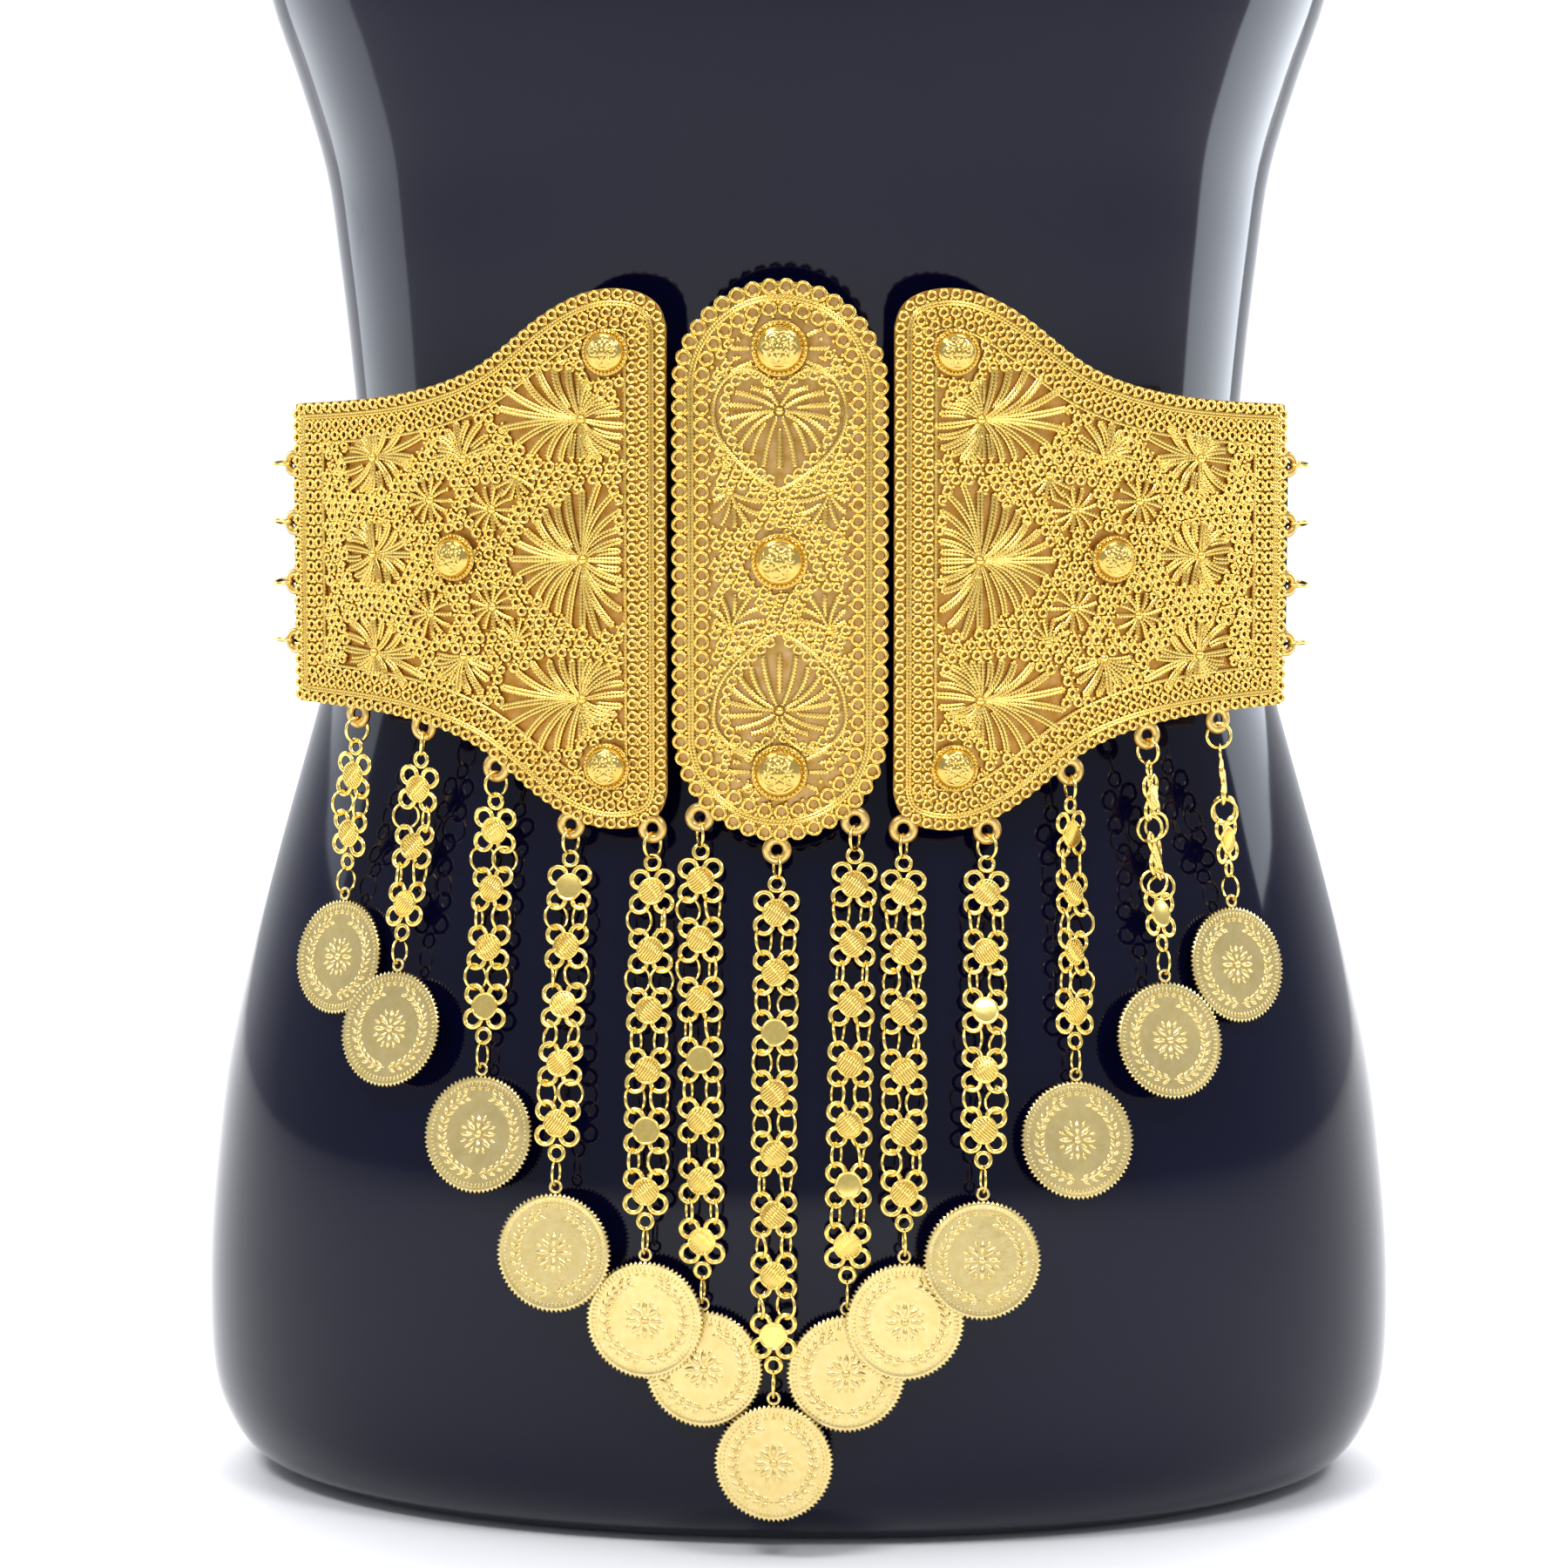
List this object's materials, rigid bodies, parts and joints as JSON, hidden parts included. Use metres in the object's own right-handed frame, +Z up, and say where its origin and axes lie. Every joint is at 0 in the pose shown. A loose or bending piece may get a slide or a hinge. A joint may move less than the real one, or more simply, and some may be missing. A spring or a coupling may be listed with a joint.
{
  "type": "coin belt on a dress form",
  "caption": "Gold filigree metal belt of stiff curved plates and hanging coin chains, worn round the waist of a glossy limbless torso form.",
  "frame": {"origin": "on the surface that the form stands on, under the middle of the whole part", "axes": "+Z up along the form, -Y the way the belt faces, +X to the right of someone looking at the front"},
  "size_m": [0.334, 0.2388, 0.694],
  "materials": {
    "gloss_black": "high gloss black moulded plastic",
    "gold_base": "plain satin gold plating",
    "gold_filigree": "bright yellow gold plating",
    "gold_chain": "bright gold plated wire",
    "gold_coin": "satin pale gold, struck",
    "elastic": "ribbed woven elastic"
  },
  "bodies": {
    "root": {"dress_form": "gloss_black", "base_plate_left": "gold_base", "filigree_left": "gold_filigree", "stud_left_1": "gold_filigree", "stud_left_2": "gold_filigree", "stud_left_3": "gold_filigree", "side_ring_left_1": "gold_chain", "side_ring_left_2": "gold_chain", "side_ring_left_3": "gold_chain", "side_ring_left_4": "gold_chain", "base_plate_centre": "gold_base", "filigree_centre": "gold_filigree", "stud_centre_1": "gold_filigree", "stud_centre_2": "gold_filigree", "stud_centre_3": "gold_filigree", "base_plate_right": "gold_base", "filigree_right": "gold_filigree", "stud_right_1": "gold_filigree", "stud_right_2": "gold_filigree", "stud_right_3": "gold_filigree", "side_ring_right_1": "gold_chain", "side_ring_right_2": "gold_chain", "side_ring_right_3": "gold_chain", "side_ring_right_4": "gold_chain", "elastic_band": "elastic", "strand_1": "gold_chain", "strand_2": "gold_chain", "strand_3": "gold_chain", "strand_4": "gold_chain", "strand_5": "gold_chain", "strand_6": "gold_chain", "strand_7": "gold_chain", "strand_8": "gold_chain", "strand_9": "gold_chain", "strand_10": "gold_chain", "strand_11": "gold_chain", "strand_12": "gold_chain", "strand_13": "gold_chain"},
    "coin_1": {"coin_1": "gold_coin"},
    "coin_2": {"coin_2": "gold_coin"},
    "coin_3": {"coin_3": "gold_coin"},
    "coin_4": {"coin_4": "gold_coin"},
    "coin_5": {"coin_5": "gold_coin"},
    "coin_6": {"coin_6": "gold_coin"},
    "coin_7": {"coin_7": "gold_coin"},
    "coin_8": {"coin_8": "gold_coin"},
    "coin_9": {"coin_9": "gold_coin"},
    "coin_10": {"coin_10": "gold_coin"},
    "coin_11": {"coin_11": "gold_coin"},
    "coin_12": {"coin_12": "gold_coin"},
    "coin_13": {"coin_13": "gold_coin"}
  },
  "joints": [
    {"name": "coin_1_swing", "type": "hinge", "parent": "root", "child": "coin_1", "pos_m": [-0.11896, -0.06159, 0.16881], "axis": [-0.8062, 0.5888, -0.0573], "range_deg": [0, 2.5]},
    {"name": "coin_2_swing", "type": "hinge", "parent": "root", "child": "coin_2", "pos_m": [-0.10202, -0.08163, 0.15223], "axis": [-0.8903, 0.454, -0.0357], "range_deg": [0, 35]},
    {"name": "coin_3_swing", "type": "hinge", "parent": "root", "child": "coin_3", "pos_m": [-0.07832, -0.09545, 0.12673], "axis": [-0.9458, 0.3228, -0.0359], "range_deg": [0, 35]},
    {"name": "coin_4_swing", "type": "hinge", "parent": "root", "child": "coin_4", "pos_m": [-0.05741, -0.11126, 0.09851], "axis": [-0.9753, 0.2208, -0.0011], "range_deg": [0, 35]},
    {"name": "coin_5_swing", "type": "hinge", "parent": "root", "child": "coin_5", "pos_m": [-0.03401, -0.11344, 0.08128], "axis": [-0.9924, 0.1229, 0.0024], "range_deg": [0, 6]},
    {"name": "coin_6_swing", "type": "hinge", "parent": "root", "child": "coin_6", "pos_m": [-0.0191, -0.11219, 0.06821], "axis": [-0.9977, 0.066, -0.0164], "range_deg": [0, 2]},
    {"name": "coin_7_swing", "type": "hinge", "parent": "root", "child": "coin_7", "pos_m": [-0.00054, -0.11568, 0.04423], "axis": [-1, 0.0015, -0.0019], "range_deg": [0, 35]},
    {"name": "coin_8_swing", "type": "hinge", "parent": "root", "child": "coin_8", "pos_m": [0.0183, -0.11225, 0.06739], "axis": [-0.998, -0.0628, 0.0115], "range_deg": [0, 2]},
    {"name": "coin_9_swing", "type": "hinge", "parent": "root", "child": "coin_9", "pos_m": [0.03321, -0.11353, 0.08146], "axis": [-0.9928, -0.1195, -0.0072], "range_deg": [0, 6]},
    {"name": "coin_10_swing", "type": "hinge", "parent": "root", "child": "coin_10", "pos_m": [0.05343, -0.11217, 0.09781], "axis": [-0.9788, -0.2028, 0.0288], "range_deg": [0, 35]},
    {"name": "coin_11_swing", "type": "hinge", "parent": "root", "child": "coin_11", "pos_m": [0.07744, -0.09579, 0.12657], "axis": [-0.9473, -0.3168, 0.0464], "range_deg": [0, 35]},
    {"name": "coin_12_swing", "type": "hinge", "parent": "root", "child": "coin_12", "pos_m": [0.10078, -0.08272, 0.15087], "axis": [-0.8954, -0.4421, 0.054], "range_deg": [0, 35]},
    {"name": "coin_13_swing", "type": "hinge", "parent": "root", "child": "coin_13", "pos_m": [0.1191, -0.06169, 0.16824], "axis": [-0.807, -0.5871, 0.0632], "range_deg": [0, 2.5]}
  ]
}
